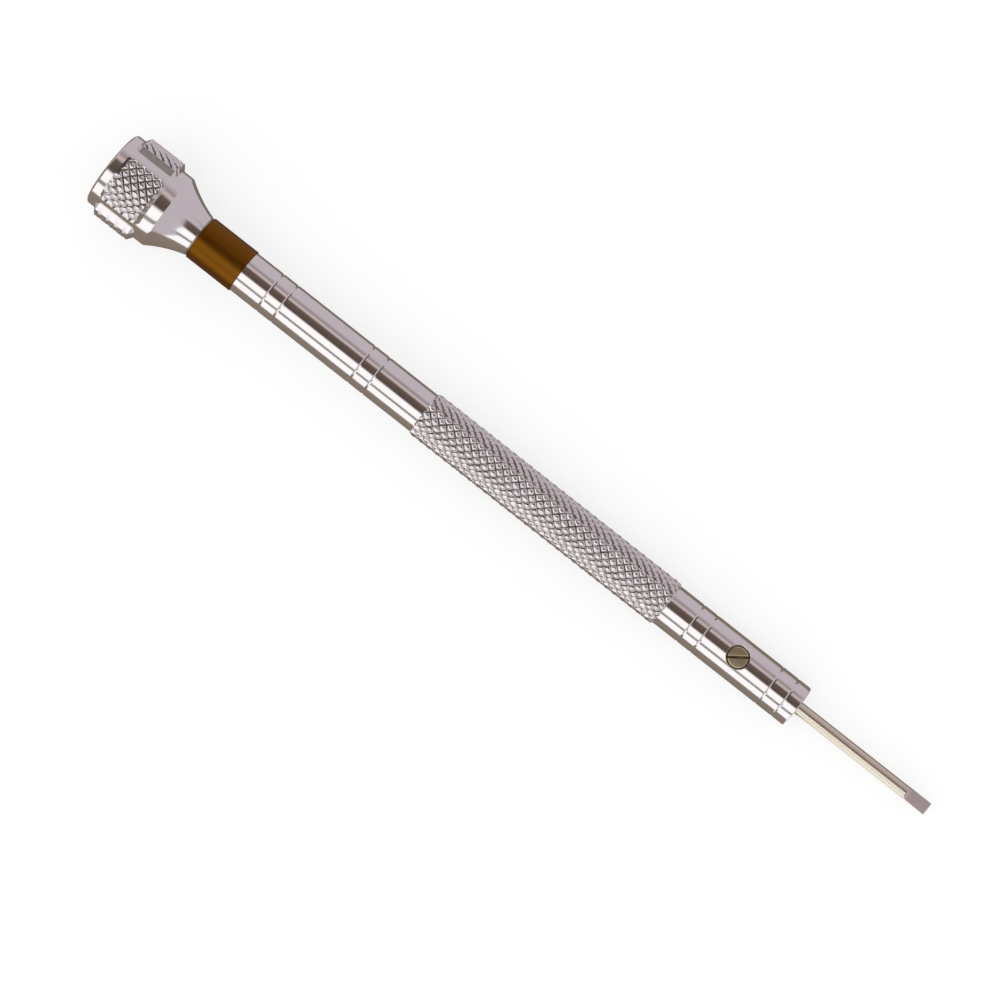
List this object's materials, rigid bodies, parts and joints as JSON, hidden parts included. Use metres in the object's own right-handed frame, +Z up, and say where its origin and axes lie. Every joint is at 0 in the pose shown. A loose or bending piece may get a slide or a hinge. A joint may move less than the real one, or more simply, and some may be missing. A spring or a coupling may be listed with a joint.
{
  "type": "watchmaker screwdriver",
  "caption": "Slim watchmaker's screwdriver: flared swivel finger head, colour ring, knurled grip and a slotted-screw tip held in the barrel by a clamp screw.",
  "frame": {"origin": "middle of the tool's bounding box, on the surface that the tool lies on", "axes": "+X along the tool from the finger head to the blade, +Z up from the bench through the side that carries the clamp screw. The tool's own axis slopes 1.75 degrees down towards the blade, because the tool rests on a head pad and on the edge of its nose."},
  "size_m": [0.0902, 0.0084, 0.0084],
  "materials": {
    "chrome_plate": "bright chrome plate over turned brass, faint turning lines, knurled grip and pads",
    "brown_anodising": "brown anodised, turned, glossy",
    "blade_steel": "hardened and tempered tool steel, ground, warm straw tint",
    "screw_nickel": "nickel-plated steel, satin, slightly yellowed",
    "spindle_steel": "turned steel, lightly oiled",
    "bearing_steel": "hardened and polished",
    "spring_steel": "blued spring steel",
    "bush_bronze": "turned bronze"
  },
  "bodies": {
    "handle": {"barrel": "chrome_plate", "colour_ring": "brown_anodising", "swivel_spindle": "spindle_steel", "retaining_clip": "spring_steel", "clip_washer": "spindle_steel", "neck_washer": "spindle_steel", "thrust_ball": "bearing_steel"},
    "head": {"head_shell": "chrome_plate", "finger_cap": "chrome_plate", "thrust_seat": "bearing_steel", "head_bush": "bush_bronze"},
    "blade": {"blade": "blade_steel"},
    "clamp_screw": {"clamp_screw": "screw_nickel"}
  },
  "joints": [
    {"name": "head_swivel", "type": "hinge", "parent": "handle", "child": "head", "pos_m": [-0.03743, 0, 0.00408], "axis": [0.9995, 0, -0.0306], "continuous": true},
    {"name": "blade_slide", "type": "slide", "parent": "handle", "child": "blade", "axis": [0.9995, 0, -0.0306], "range_m": [0, 0.01]},
    {"name": "clamp_screw_turn", "type": "hinge", "parent": "handle", "child": "clamp_screw", "pos_m": [0.024, 0.00021, 0.00412], "axis": [0.0304, 0.108, 0.9937], "range_deg": [0, 540]}
  ]
}
